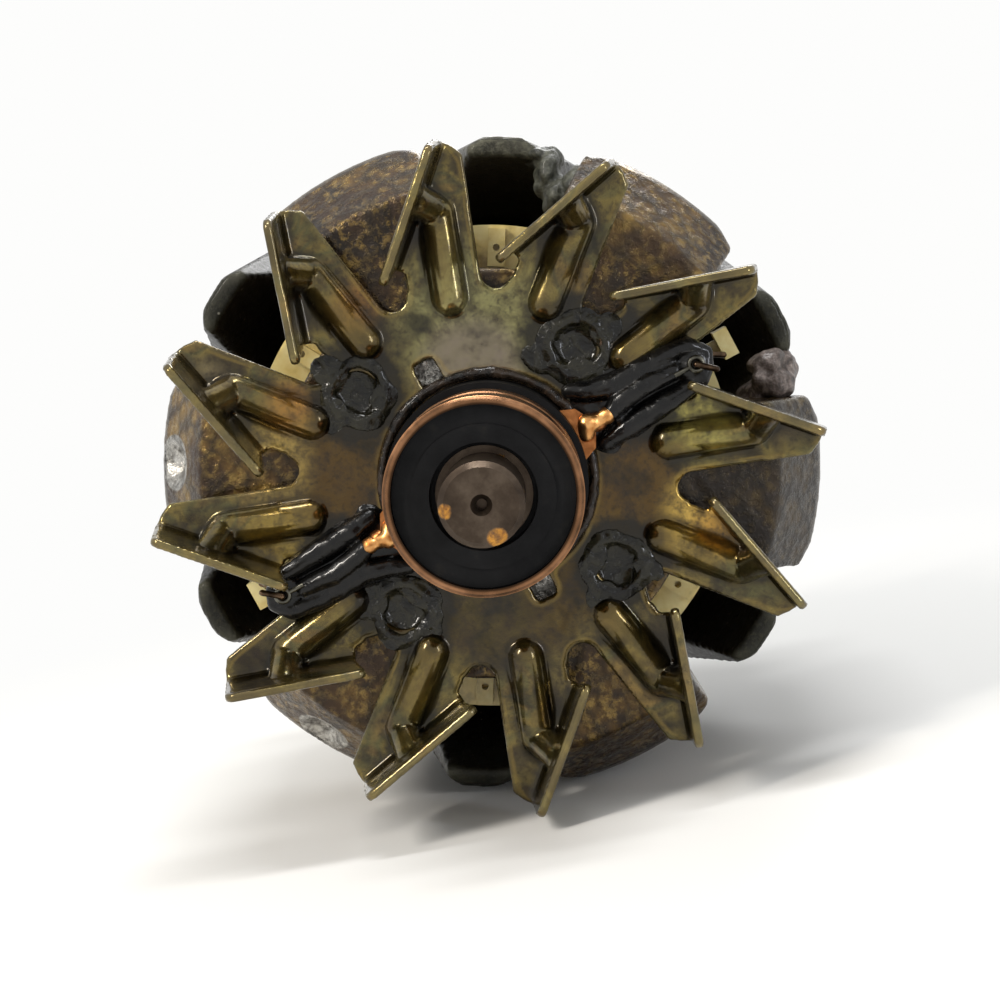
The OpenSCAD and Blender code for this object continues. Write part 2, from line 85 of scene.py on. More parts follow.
def on_rotor(radius_mm, angle, y):
    """Point at a radius in mm and an angle in degrees as seen from the slip rings, at a Y in metres."""
    turn = math.radians(angle) + REST_TURN
    return Vector((radius_mm * MM * math.cos(turn), y, radius_mm * MM * math.sin(turn)))


def on_lead(side, along_mm, across_mm, height_mm):
    """Point along a lead's radial line, across it, and out from the front of the slip-end fan."""
    radius = math.hypot(along_mm, across_mm)
    angle = side + math.degrees(math.atan2(across_mm, along_mm))
    return on_rotor(radius, angle, FAN_FRONT - height_mm * MM)


# Angles of the leads as seen, and the piece that lies at each.
LEADS = {28.5: "lead_folds_a", 208.5: "lead_folds_b"}

# Strands of each lead's sleeving: along the lead, across it, height over the fan, radius, in mm.
SLEEVE_STRANDS = (
    ((32.6, 1.3, 1.3, 1.4), (27.5, 1.5, 1.9, 1.7), (23.4, 1.0, 1.8, 1.7), (21.6, 0.4, 2.2, 1.5)),
    ((36.2, 3.6, 0.9, 1.4), (33.6, 3.8, 0.9, 1.6), (28.5, 4.0, 1.0, 1.8), (23.6, 3.6, 1.1, 1.8),
     (19.6, 4.8, 0.9, 1.5), (17.2, 6.0, 0.8, 1.2)),
    ((35.8, -2.0, 0.8, 1.2), (28.5, -2.6, 1.0, 1.8), (22.4, -3.0, 1.0, 1.8), (18.6, -3.6, 0.8, 1.2)),
    ((38.4, 1.4, 0.4, 1.0), (37.4, -0.6, 0.6, 1.1), (35.8, -2.0, 0.8, 1.2)),
    ((38.4, 1.4, 0.4, 1.0), (36.2, 3.6, 0.9, 1.4)))

# Varnish that ran out from under the sleeving: along, across, length, width, height, in mm.
SLEEVE_PUDDLES = ((35.7, 0.7, 2.9, 2.9, 2.2), (30, 0.8, 7.0, 5.2, 0.5), (23.5, 0.6, 6.5, 6.0, 0.45),
                  (19.0, 0.4, 3.6, 6.6, 0.4))

# Weld dimples of the slip-end fan, where varnish pools: radius in mm, and angles as seen.
DIMPLE_AT = 23.9
DIMPLE_ANGLES = (57, 147, 237, 327)

# Flat runs of varnish on the fan: radius, angle as seen, half length and half width, in mm.
VARNISH_RUNS = ((29.0, 52, 3.0, 2.4), (21.5, 44, 3.0, 4.6), (20.0, 66, 2.4, 3.4), (29.2, 146, 3.2, 2.6),
                (25.6, 158, 2.4, 3.0), (20.2, 142, 2.2, 2.6), (26.5, 226, 3.2, 3.0), (20.5, 240, 2.4, 3.6),
                (25.8, 249, 2.8, 2.2), (25.5, 314, 3.0, 2.8), (28.2, 331, 2.8, 1.8), (20.4, 322, 2.0, 3.0))

# Dark stains that varnish left in the fan: radius, angle as seen, inner and outer reach, in mm.
VARNISH_STAINS = ((23.9, 57, 5, 11), (23.9, 147, 5, 10), (23.9, 237, 5, 11), (23.9, 327, 5, 9),
                  (26, 29, 4, 9), (26, 208.5, 4, 9), (19, 40, 2, 8), (30, 52, 1, 7))

# Tints laid over the fan's zinc, partly its own and partly painted light and shade, lighter where beads
# and blades catch the light and darker where they lie in shade: radius, angle as seen, inner and outer
# reach in mm, and the colour.
TINTS_AND_PAINTED_LIGHT = ((23, 96, 5, 17, "8a8658"), (22, 180, 3, 14, "4c3713"), (22, 0, 3, 14, "523c16"),
               (22, 270, 3, 13, "3e351a"), (34, 176, 3, 9, "a98f4e"), (33, 198, 3, 9, "8a7434"),
               (34, 351, 3, 9, "d0ac52"), (33, 15, 3, 8, "a09650"), (44, 205, 4, 9, "9c8858"),
               (46, 166, 3, 9, "9a8a66"), (32, 160, 1, 6, "9a6a2e"), (33, 127, 1, 6, "86602e"),
               (36, 348, 1, 6, "b0843a"), (46, 110, 4, 9, "3a3018"), (47, 15, 4, 9, "40362a"))

# Epoxy that locks the coil to the claws: radius, angle as seen, Y, half sizes, in mm.
RESIN_LUMPS = {
    "upper_resin": ((48.0, 79.2, -54.0, (4.4, 5.5, 2.0)), (44.6, 76.6, -55.5, (3.6, 5.0, 2.3)),
                    (46.5, 74.0, -57.0, (4.2, 4.0, 1.9)), (50.4, 80.5, -52.0, (1.9, 5.0, 3.4))),
    "side_resin": ((47.4, 17.0, -56.0, (3.6, 5.0, 2.9)), (44.2, 15.5, -54.0, (3.0, 4.0, 2.4)),
                   (49.9, 19.5, -52.0, (2.3, 5.0, 3.4)), (47.2, 21.5, -57.5, (3.0, 3.0, 2.0)),
                   (45.4, 19.0, -58.5, (1.6, 2.0, 1.2)))}

RESIN_TONES = {"upper_resin": ("1f201a", "3b3c33", "5d5e53"), "side_resin": ("2e2723", "5d524c", "9a8d86")}

# Bright steel on the slip-end pole: the drill pits, and what shows through the fan's two windows.
PIT_AT, PIT_DROP, PIT_ANGLES = 50.5, 7.6, (178.6, 237.5)
WINDOW_AT, WINDOW_ANGLES = 19.5, (119.4, 296.8)

# Distances from the shaft's line, in mm, between which the turned outside of the claws fades in,
# and the pitch at which its tool rings are drawn, coarser than they are so that they show.
CLAWS_TURNED = (52.7, 52.3)
CLAW_RINGS = 0.6


# ---- Colours and shader nodes ----

def srgb(code):
    """Linear colour from a hex sRGB value such as '7a6a32'."""
    parts = [int(code[i:i + 2], 16) / 255 for i in (0, 2, 4)]
    linear = [p / 12.92 if p <= 0.04045 else ((p + 0.055) / 1.055) ** 2.4 for p in parts]
    return (*linear, 1.0)


def per_mm(size):
    """Texture scale whose features are about this many mm across, on coordinates in metres."""
    return 1000.0 / size


def bands(pitch):
    """Scale of a wave texture whose bands lie this many mm apart: it runs 20 radians a unit."""
    return 2 * math.pi / 20 * per_mm(pitch)


def add_node(tree, kind, out=0, stops=(), **values):
    """Adds a shader node and gives one of its outputs, or the node itself where it has none.

    Values in lower case are settings; the others are inputs, by name or, such as i6, by place,
    each a socket to link, a hex colour or a plain value. Stops are a colour ramp's, each
    (position, hex colour or grey level).
    """
    made = tree.nodes.new("ShaderNode" + kind)
    for key, value in values.items():
        if key[1:].isdigit():
            socket = made.inputs[int(key[1:])]
        elif key.islower():
            setattr(made, key, value)
            continue
        else:
            socket = made.inputs[key.replace("_", " ")]
        if isinstance(value, bpy.types.NodeSocket):
            tree.links.new(value, socket)
        else:
            socket.default_value = srgb(value) if isinstance(value, str) else value
    for index, (at, tone) in enumerate(stops):
        points = made.color_ramp.elements
        point = points[index] if index < len(points) else points.new(1.0)
        point.position = at
        point.color = srgb(tone) if isinstance(tone, str) else (tone, tone, tone, 1.0)
    return made.outputs[out] if made.outputs else made


class Finish:
    """A material being built: its tree, its shader, and patterns that lie on the piece itself."""

    def __init__(self, name, **shader):
        self.material = bpy.data.materials.new(name)
        self.material.use_nodes = True
        self.tree = self.material.node_tree
        self.tree.nodes.clear()
        self.surface = self.add("BsdfPrincipled", **shader)
        self.output = self.add("OutputMaterial", Surface=self.surface)
        self.place = self.add("TexCoord", out="Object")

    def add(self, kind, **values):
        """Adds a node; a texture reads the piece's own coordinates unless it is given others."""
        if kind in ("TexNoise", "TexVoronoi", "TexWave"):
            values.setdefault("Vector", self.place)
        return add_node(self.tree, kind, **values)

    def show(self, **looks):
        """Links patterns to the shader's sockets."""
        for name, look in looks.items():
            self.tree.links.new(look, self.surface.node.inputs[name.replace("_", " ")])

    def paint(self, tone, *layers):
        """Lays colours over a tone, each (share, colour), the last on top."""
        for share, colour in layers:
            tone = self.add("Mix", out=2, data_type="RGBA", i0=share, i6=tone, i7=colour)
        return tone

    def relief(self, *layers):
        """Raises the surface by patterns, each (height, depth in mm), one on another."""
        below = {}
        for height, depth in layers:
            below = {"Normal": self.add("Bump", Height=height, Distance=depth * MM, **below)}
        self.show(**below)

    def curvature(self, *stops):
        """Share read from the 'wear' attribute of a softened piece, by a ramp's stops."""
        marked = self.add("Attribute", out="Fac", attribute_name="curvature")
        return self.add("ValToRGB", Fac=marked, stops=stops)

    def worn(self, share):
        """The share on convex edges and 0 elsewhere: partly real edge wear and partly a painted highlight
        where edges catch the light.
        """
        return self.add("Math", operation="MULTIPLY", i0=self.curvature((0.62, 0.0), (0.82, 1.0)), i1=share)

    def corner_varnish_and_shade(self, share):
        """The share in inner corners and 0 elsewhere: varnish gathered there, and painted shade."""
        return self.add("Math", operation="MULTIPLY", i0=self.curvature((0.34, 1.0), (0.475, 0.0)), i1=share)

    def crowned(self):
        """1 on gently crowned faces such as the crests of beads, and little elsewhere."""
        return self.curvature((0.53, 0.0), (0.57, 1.0), (0.6, 1.0), (0.65, 0.15))

    def rings(self, pitch, detail=1.0):
        """Slightly uneven rings round the shaft's line, pitch mm apart, as a turning tool leaves.

        Real ones are 0.1 to 0.3 mm apart, too fine to show, so every pitch asked for is coarser.
        """
        return self.add("TexWave", out="Fac", bands_direction="Y", Scale=bands(pitch), Distortion=0.4,
                        Detail=detail)

    def near(self, point, full, none):
        """1 at one distance in mm from a point and 0 at another, softly between."""
        away = self.add("VectorMath", out="Value", operation="DISTANCE", i0=self.place, i1=point)
        return self.add("MapRange", interpolation_type="SMOOTHSTEP", i0=away, i1=none * MM, i2=full * MM)

    def round_shaft(self, full, none):
        """1 at one distance in mm from the shaft's line and 0 at another, softly between."""
        flat = self.add("VectorMath", operation="MULTIPLY", i0=self.place, i1=(1, 0, 1))
        away = self.add("VectorMath", out="Value", operation="LENGTH", i0=flat)
        return self.add("MapRange", interpolation_type="SMOOTHSTEP", i0=away, i1=none * MM, i2=full * MM)


# ---- Finishes, each named by what it is made of and how its surface came about ----

def forged_steel_in_amber_varnish(name, gloss, light):
    """Drop-forged steel: scaly dimpled skin under an uneven coat of baked amber varnish."""
    made = Finish(name, Coat_Weight=gloss, Coat_Roughness=0.09)
    add = made.add
    cloud = add("TexNoise", Scale=per_mm(17), Detail=3, Roughness=0.55, Distortion=0.8)
    grain = add("TexNoise", Scale=per_mm(1.3), Detail=4, Roughness=0.7)
    scale = add("TexVoronoi", out="Distance", Scale=per_mm(2.2))
    drips = add("TexNoise", Scale=per_mm(6), Detail=3, Roughness=0.55)
    turned = made.round_shaft(*CLAWS_TURNED)
    pit_floor = POLE_FACE + PIT_DROP * MM
    spots = [made.near(on_rotor(WINDOW_AT, angle, POLE_FACE), 2.4, 3.2) for angle in WINDOW_ANGLES]
    spots += [made.near(on_rotor(PIT_AT, angle, pit_floor), 4.3, 4.7) for angle in PIT_ANGLES]
    bare = spots[0]
    for spot in spots[1:]:
        bare = add("Math", operation="MAXIMUM", i0=bare, i1=spot)
    tone = add("ValToRGB", Fac=cloud,
               stops=((0.36, "1f150a"), (0.47, "412d12"), (0.56, "664c1e"), (0.66, "84692f")))
    # The lobe at the right is drawn darker.
    dark_patches = made.near(on_rotor(44, 354, POLE_FACE), 15, 24)
    tone = made.paint(
        tone,
        (add("ValToRGB", Fac=grain, stops=((0.48, 0.0), (0.6, 0.8))), light),
        (add("ValToRGB", Fac=scale, stops=((0.3, 0.0), (0.75, 0.75))), "1c150d"),
        (add("ValToRGB", Fac=drips, stops=((0.5, 0.0), (0.64, 0.75))), "33200d"),
        (add("Math", operation="MULTIPLY", i0=dark_patches, i1=0.8), "14100c"),
        # Edges drawn lighter, partly for wear and partly as a painted highlight; inner corners drawn
        # darker, for varnish and as painted shade.
        (made.worn(0.4), "8d815f"),
        (made.corner_varnish_and_shade(0.8), "0f0c08"),
        (add("Math", operation="MULTIPLY", i0=turned, i1=0.55), "6b6153"),
        (bare, add("ValToRGB", Fac=grain, stops=((0.35, "55514b"), (0.65, "c4c1ba")))))
    made.show(Base_Color=tone,
              Metallic=add("ValToRGB", Fac=bare, stops=((0.0, 0.62), (1.0, 1.0))),
              Roughness=add("ValToRGB", Fac=grain, stops=((0.35, 0.42), (0.65, 0.15))))
    rough = add("Math", operation="SUBTRACT", i0=1.0, i1=turned)
    made.relief((add("Math", operation="MULTIPLY", i0=cloud, i1=rough), 0.5),
                (add("Math", operation="MULTIPLY", i0=grain, i1=rough), 0.3),
                (add("Math", operation="MULTIPLY", i0=scale, i1=rough), 0.2),
                (add("Math", operation="MULTIPLY", i0=made.rings(CLAW_RINGS), i1=turned), 0.03))
    return made.material


def blackened_forged_steel(name):
    """Forged steel left black from the furnace, with rough grey sides, a few painted glints and a painted
    highlight on the upper claws.
    """
    made = Finish(name, Specular_IOR_Level=0.25, Coat_Weight=0.1, Coat_Roughness=0.08)
    add = made.add
    cloud = add("TexNoise", Scale=per_mm(9), Detail=4, Roughness=0.55)
    grain = add("TexNoise", Scale=per_mm(1.1), Detail=6, Roughness=0.75)
    # Small bright specks, which are painted glints.
    painted_glints = add("TexVoronoi", out="Distance", Scale=per_mm(3.5))
    turned = made.round_shaft(*CLAWS_TURNED)
    # Painted highlight: the claws near the top are drawn lighter, where light from above falls on them.
    painted_highlight = add("Math", operation="MULTIPLY", i0=made.near(on_rotor(46, 99, POLE_FACE + 20 * MM), 14, 30),
                 i1=add("ValToRGB", Fac=grain, stops=((0.44, 0.15), (0.62, 0.7))))
    tone = made.paint(
        add("ValToRGB", Fac=cloud, stops=((0.34, "080705"), (0.52, "12110c"), (0.7, "232118"))),
        (add("ValToRGB", Fac=grain, stops=((0.52, 0.0), (0.68, 0.6))), "3d3b2c"),
        (painted_highlight, "605e50"),
        # Edges drawn lighter, partly for wear and partly as a painted highlight; inner corners drawn
        # darker, for varnish and as painted shade.
        (made.worn(0.45), "6c6b5c"),
        (made.corner_varnish_and_shade(0.8), "0b0b09"),
        (add("ValToRGB", Fac=painted_glints, stops=((0.03, 0.6), (0.08, 0.0))), "a8a598"),
        (add("Math", operation="MULTIPLY", i0=turned, i1=0.4), "45433b"))
    made.show(Base_Color=tone,
              Metallic=add("ValToRGB", Fac=cloud, stops=((0.3, 0.4), (0.7, 0.6))),
              Roughness=add("ValToRGB", Fac=grain, stops=((0.35, 0.26), (0.65, 0.55))))
    rough = add("Math", operation="SUBTRACT", i0=1.0, i1=turned)
    made.relief((add("Math", operation="MULTIPLY", i0=cloud, i1=rough), 0.4),
                (add("Math", operation="MULTIPLY", i0=grain, i1=rough), 0.3),
                (add("Math", operation="MULTIPLY", i0=made.rings(CLAW_RINGS), i1=turned), 0.03))
    return made.material


def yellow_chromated_zinc_sheet(name):
    """Stamped sheet with yellow-chromated zinc, its rainbow tints dulled by heat, oil and varnish, with
    painted light and shade laid over it.
    """
    made = Finish(name, Coat_Weight=0.35, Coat_Roughness=0.05)
    add = made.add
    film = add("TexNoise", Scale=per_mm(14), Detail=2.5, Roughness=0.55, Distortion=1.4)
    mottle = add("TexNoise", Scale=per_mm(3.0), Detail=5, Roughness=0.68)
    speck = add("TexNoise", Scale=per_mm(0.8), Detail=4, Roughness=0.7)
    hub = add("ValToRGB", Fac=film,
              stops=((0.32, "33260a"), (0.45, "443411"), (0.56, "554520"), (0.68, "3f2e10")))
    # The outer ring, where the beads and blades stand, is drawn a brighter gold than the hub: partly the
    # zinc's own tint and partly a painted highlight on the beads.
    outer = add("ValToRGB", Fac=film,
                stops=((0.28, "2b2312"), (0.4, "453c23"), (0.5, "6e6032"), (0.58, "534f30"),
                       (0.68, "745f33"), (0.78, "3c3220")))
    tone = made.paint(hub, (made.round_shaft(31, 25), outer))
    # Patches laid place by place: partly the zinc's own tints, partly painted light and shade.
    for radius, angle, full, none, shade in TINTS_AND_PAINTED_LIGHT:
        tint = made.near(on_rotor(radius, angle, FAN_FRONT), full, none)
        tone = made.paint(tone, (add("Math", operation="MULTIPLY", i0=tint, i1=0.8), shade))
    stained = add("Math", operation="MULTIPLY", i0=made.near(on_rotor(17, 98, FAN_FRONT), 5, 10),
                  i1=add("ValToRGB", Fac=mottle, stops=((0.3, 0.9), (0.75, 0.3))))
    dark_patches = add("TexNoise", Scale=per_mm(7), Detail=6, Roughness=0.55, Distortion=0.4)
    dark_patches = add("ValToRGB", Fac=dark_patches, stops=((0.54, 0.0), (0.68, 0.8)))
    ragged = add("Math", operation="ADD", i0=mottle, i1=-0.35)
    for radius, angle, full, none in VARNISH_STAINS:
        stain = add("Math", operation="ADD", i0=made.near(on_rotor(radius, angle, FAN_FRONT), full, none),
                    i1=ragged)
        stain = add("ValToRGB", Fac=stain, stops=((0.25, 0.0), (0.8, 0.9)))
        dark_patches = add("Math", operation="MAXIMUM", i0=dark_patches, i1=stain)
    # Painted highlight along the crests of the beads.
    painted_highlight = add("Math", operation="MULTIPLY", i0=made.crowned(),
                 i1=add("ValToRGB", Fac=film, stops=((0.36, 0.3), (0.6, 0.0))))
    tone = made.paint(
        tone,
        (add("ValToRGB", Fac=mottle, stops=((0.45, 0.0), (0.66, 0.72))), "2a1c08"),
        (add("ValToRGB", Fac=speck, stops=((0.52, 0.0), (0.66, 0.55))), "1f1609"),
        (stained, "776a60"),
        (dark_patches, "17140c"),
        (painted_highlight, "a08640"),
        # Edges drawn lighter, partly for wear and partly as a painted highlight; inner corners drawn
        # darker, for varnish and as painted shade.
        (made.worn(0.35), "9c8c5e"),
        (made.corner_varnish_and_shade(0.85), "120e06"))
    made.show(Base_Color=tone,
              Metallic=add("ValToRGB", Fac=mottle, stops=((0.3, 0.9), (0.7, 0.65))),
              Roughness=add("ValToRGB", Fac=mottle, stops=((0.3, 0.1), (0.7, 0.28))))
    made.relief((film, 0.25), (mottle, 0.04), (speck, 0.02))
    return made.material


def turned_steel_rust_spotted(name):
    """Turned shaft steel, browned, with fine tool rings and orange rust blooms."""
    made = Finish(name)
    add = made.add
    cloud = add("TexNoise", Scale=per_mm(7), Detail=5, Roughness=0.65)
    ragged = add("TexNoise", Scale=per_mm(1.6), Detail=4, Roughness=0.55)
    blooms = add("TexNoise", Scale=per_mm(6), Detail=4, Roughness=0.55)
    flakes = add("TexNoise", Scale=per_mm(0.8), Detail=3, Roughness=0.55)
    rust = add("Math", operation="MAXIMUM", i0=made.near(on_rotor(5.2, 190, SHAFT_TIP), 0.7, 1.6),
               i1=made.near(on_rotor(5.0, 296, SHAFT_TIP), 1.0, 2.0))
    rust = add("Math", operation="MAXIMUM", i0=rust,
               i1=add("ValToRGB", Fac=blooms, stops=((0.66, 0.0), (0.7, 1.0))))
    rust = add("Math", operation="MULTIPLY", i0=rust, i1=ragged)
    rust = add("ValToRGB", Fac=rust, stops=((0.2, 0.0), (0.52, 1.0)))
    tone = made.paint(
        add("ValToRGB", Fac=cloud, stops=((0.3, "2c231c"), (0.5, "43382e"), (0.7, "5c5044"))),
        (rust, add("ValToRGB", Fac=flakes, stops=((0.3, "7a4d1c"), (0.7, "c48a30")))))
    made.show(Base_Color=tone,
              Metallic=add("ValToRGB", Fac=rust, stops=((0.0, 0.85), (1.0, 0.1))),
              Roughness=add("ValToRGB", Fac=rust, stops=((0.0, 0.34), (1.0, 0.8))))
    made.relief((made.rings(1.6), 0.012), (cloud, 0.06), (rust, 0.08))
    return made.material


def ground_bright_steel(name):
    """Ground or turned steel kept bright under a thin oil film."""
    made = Finish(name, Metallic=1.0)
    add = made.add
    rings = made.rings(0.9)
    cloud = add("TexNoise", Scale=per_mm(9), Detail=4, Roughness=0.55)
    made.show(Base_Color=add("ValToRGB", Fac=cloud, stops=((0.3, "6f6a62"), (0.7, "9a958c"))),
              Roughness=add("ValToRGB", Fac=rings, stops=((0.2, 0.26), (0.8, 0.4))))
    made.relief((rings, 0.01), (cloud, 0.02))
    return made.material


def brush_worn_copper(name):
    """Copper slip ring, its track polished and grooved by the brushes and its edges browned."""
    made = Finish(name, Metallic=1.0)
    add = made.add
    tracks = made.rings(0.6, detail=3)
    cloud = add("TexNoise", Scale=per_mm(5), Detail=5, Roughness=0.6)
    burnt = made.round_shaft(13.2, 13.6)
    tone = made.paint(
        add("ValToRGB", Fac=cloud, stops=((0.32, "4a3524"), (0.5, "6f5039"), (0.68, "9a7152"))),
        (add("ValToRGB", Fac=tracks, stops=((0.0, 0.0), (0.5, 0.0), (1.0, 0.4))), "c08a62"),
        (add("Math", operation="MULTIPLY", i0=burnt, i1=0.85), "1d140e"))
    made.show(Base_Color=tone, Roughness=add("ValToRGB", Fac=cloud, stops=((0.3, 0.2), (0.7, 0.4))))
    made.relief((tracks, 0.02), (cloud, 0.06))
    return made.material


def pressed_copper(name, dull, bright):
    """Pressed copper, reddened by heat, with brighter places where rubbing polished it."""
    made = Finish(name, Metallic=1.0)
    add = made.add
    cloud = add("TexNoise", Scale=per_mm(1.8), Detail=4, Roughness=0.55)
    made.show(Base_Color=add("ValToRGB", Fac=cloud, stops=((0.3, dull), (0.7, bright))),
              Roughness=add("ValToRGB", Fac=cloud, stops=((0.3, 0.42), (0.7, 0.26))))
    made.relief((cloud, 0.08))
    return made.material


def moulded_phenolic(name):
    """Black moulded phenolic resin, semi-matt, greyer in patches."""
    made = Finish(name, Specular_IOR_Level=0.12)
    add = made.add
    cloud = add("TexNoise", Scale=per_mm(4), Detail=4, Roughness=0.55)
    bloom = add("TexNoise", Scale=per_mm(1.2), Detail=3, Roughness=0.55)
    # The filler's grit is finer than this, and is drawn as coarse as it needs to show.
    grit = add("TexNoise", Scale=per_mm(0.5), Detail=2, Roughness=0.55)
    tone = add("ValToRGB", Fac=cloud, stops=((0.3, "0b0b0c"), (0.62, "141415"), (0.8, "24221f")))
    made.show(Base_Color=tone,
              Roughness=add("ValToRGB", Fac=bloom, stops=((0.3, 0.6), (0.7, 0.42))))
    made.relief((cloud, 0.04), (grit, 0.01))
    return made.material


def dipped_black_sleeving(name):
    """Woven sleeving dipped in black varnish, glossy where the coat has pooled."""
    made = Finish(name, Coat_Weight=0.3, Coat_Roughness=0.04, Specular_IOR_Level=0.15)
    add = made.add
    lumps = add("TexNoise", Scale=per_mm(2.6), Detail=3, Roughness=0.55, Distortion=0.5)
    # The weave is drawn nearly twice as coarse as such sleeving's, so that it shows.
    weave = add("TexWave", out="Fac", bands_direction="DIAGONAL", Scale=bands(0.754), Distortion=1.0,
                Detail=1.0)
    made.show(Base_Color=add("ValToRGB", Fac=lumps, stops=((0.35, "070708"), (0.65, "141312"))),
              Roughness=add("ValToRGB", Fac=lumps, stops=((0.3, 0.2), (0.7, 0.38))))
    made.relief((lumps, 0.4), (weave, 0.012))
    return made.material


def moulded_nylon(name):
    """Natural cream nylon, yellowed by heat and streaked with varnish."""
    made = Finish(name, Subsurface_Weight=0.05, Subsurface_Scale=0.5 * MM, Coat_Weight=0.3,
                  Subsurface_Radius=(1.0, 0.7, 0.4), Coat_Roughness=0.2)
    add = made.add
    stain = add("TexNoise", Scale=per_mm(5), Detail=4, Roughness=0.55)
    tone = add("ValToRGB", Fac=stain, stops=((0.35, "eadb9c"), (0.55, "d8c27a"), (0.72, "8b7642")))
    made.show(Base_Color=tone,
              Roughness=add("ValToRGB", Fac=stain, stops=((0.3, 0.5), (0.7, 0.3))))
    made.relief((stain, 0.05))
    return made.material


def resin_soaked_tape(name):
    """Glass-cloth tape wound side by side over the coil and soaked in brown resin."""
    made = Finish(name, Coat_Weight=0.25, Coat_Roughness=0.25, Specular_IOR_Level=0.3)
    add = made.add
    laps = add("TexWave", out="Fac", bands_direction="Y", wave_profile="SAW", Scale=bands(11.31),
               Distortion=1.2, Detail=1.0)
    round_coil = add("Mapping", Vector=made.place, Scale=(1, 3, 1))
    cloth = add("TexNoise", Vector=round_coil, Scale=per_mm(0.5), Detail=2, Roughness=0.55)
    soak = add("TexNoise", Scale=per_mm(8), Detail=4, Roughness=0.55)
    tone = made.paint(
        add("ValToRGB", Fac=soak, stops=((0.3, "241a11"), (0.55, "46331f"), (0.75, "6b5233"))),
        (add("ValToRGB", Fac=cloth, stops=((0.45, 0.0), (0.7, 0.5))), "8a6f48"))
    made.show(Base_Color=tone, Roughness=add("ValToRGB", Fac=cloth, stops=((0.3, 0.35), (0.7, 0.6))))
    made.relief((laps, 0.35), (cloth, 0.05))
    return made.material


def enamelled_winding(name):
    """Round enamelled copper wire laid in close turns, under hard varnish."""
    made = Finish(name, Metallic=0.8, Coat_Weight=0.8, Coat_Roughness=0.1)
    add = made.add
    # The wire would lie in turns of about 0.8 mm, which are drawn coarser so that they show.
    turns = add("TexWave", out="Fac", bands_direction="Y", Scale=bands(1.508))
    cloud = add("TexNoise", Scale=per_mm(6), Detail=3, Roughness=0.55)
    tone = add("ValToRGB", Fac=turns, stops=((0.0, "2a130a"), (0.35, "6e3418"), (1.0, "a8602f")))
    made.show(Base_Color=tone,
              Roughness=add("ValToRGB", Fac=cloud, stops=((0.3, 0.2), (0.7, 0.36))))
    made.relief((turns, 0.3))
    return made.material


def pooled_varnish(name, thin, deep):
    """Varnish that ran together while it baked: amber where thin and near black where deep."""
    made = Finish(name, Specular_IOR_Level=0.12, Coat_Weight=0.42, Coat_Roughness=0.02)
    add = made.add
    depth = add("TexNoise", Scale=per_mm(2.2), Detail=3, Roughness=0.55, Distortion=0.8)
    skin = add("TexNoise", Scale=per_mm(1.1), Detail=3, Roughness=0.55)
    ripple = add("TexNoise", Scale=per_mm(0.9), Detail=3, Roughness=0.55)
    made.show(Base_Color=add("ValToRGB", Fac=depth, stops=((0.35, deep), (0.7, thin))),
              Roughness=add("ValToRGB", Fac=skin, stops=((0.35, 0.05), (0.7, 0.22))))
    made.relief((depth, 0.8), (ripple, 0.2))
    return made.material


def cured_epoxy(name, dark, mid, light):
    """Epoxy filler, dull and crusted, that locks the coil to the claws."""
    made = Finish(name, Specular_IOR_Level=0.3, Coat_Weight=0.15, Coat_Roughness=0.1)
    add = made.add
    crust = add("TexNoise", Scale=per_mm(1.6), Detail=5, Roughness=0.7)
    made.show(Base_Color=add("ValToRGB", Fac=crust, stops=((0.34, dark), (0.5, mid), (0.66, light))),
              Roughness=add("ValToRGB", Fac=crust, stops=((0.3, 0.3), (0.7, 0.7))))
    made.relief((crust, 0.4))
    return made.material


# ---- Making pieces ----

def place_piece(name, mesh, finish, smooth_angle=40):
    """Links a finished mesh as a piece that rides on the rotor."""
    for face in mesh.polygons:
        face.use_smooth = True
    mesh.set_sharp_from_angle(angle=math.radians(smooth_angle))
    mesh.materials.clear()
    mesh.materials.append(finish)
    piece = bpy.data.objects.new(name, mesh)
    bpy.context.scene.collection.objects.link(piece)
    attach(piece, "root")
    return piece


def mesh_from(name, shape):
    """Turns a bmesh into a mesh with its faces pointing out, and frees it."""
    bmesh.ops.remove_doubles(shape, verts=shape.verts, dist=0.001 * MM)
    bmesh.ops.recalc_face_normals(shape, faces=shape.faces)
    mesh = bpy.data.meshes.new(name)
    shape.to_mesh(mesh)
    shape.free()
    return mesh


def dress(node, finish):
    """Gives a CAD node its finish."""
    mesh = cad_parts[node].data
    mesh.materials.clear()
    mesh.materials.append(finish)


def skinned(mesh, voxel_mm, passes, onto=None):
    """One even skin round everything in a mesh, eased, and drawn back onto an object's faces."""
    worker = bpy.data.objects.new("worker", mesh)
    bpy.context.scene.collection.objects.link(worker)
    skin = worker.modifiers.new("skin", "REMESH")
    skin.mode = "VOXEL"
    skin.voxel_size = voxel_mm * MM
    ease = worker.modifiers.new("ease", "SMOOTH")
    ease.factor = 0.5
    ease.iterations = passes
    if onto:
        draw = worker.modifiers.new("draw", "SHRINKWRAP")
        draw.target = onto
        radius = worker.modifiers.new("radius", "SMOOTH")
        radius.factor = 0.5
        radius.iterations = 3
    done = worker.evaluated_get(bpy.context.evaluated_depsgraph_get())
    result = bpy.data.meshes.new_from_object(done)
    bpy.data.objects.remove(worker)
    return result


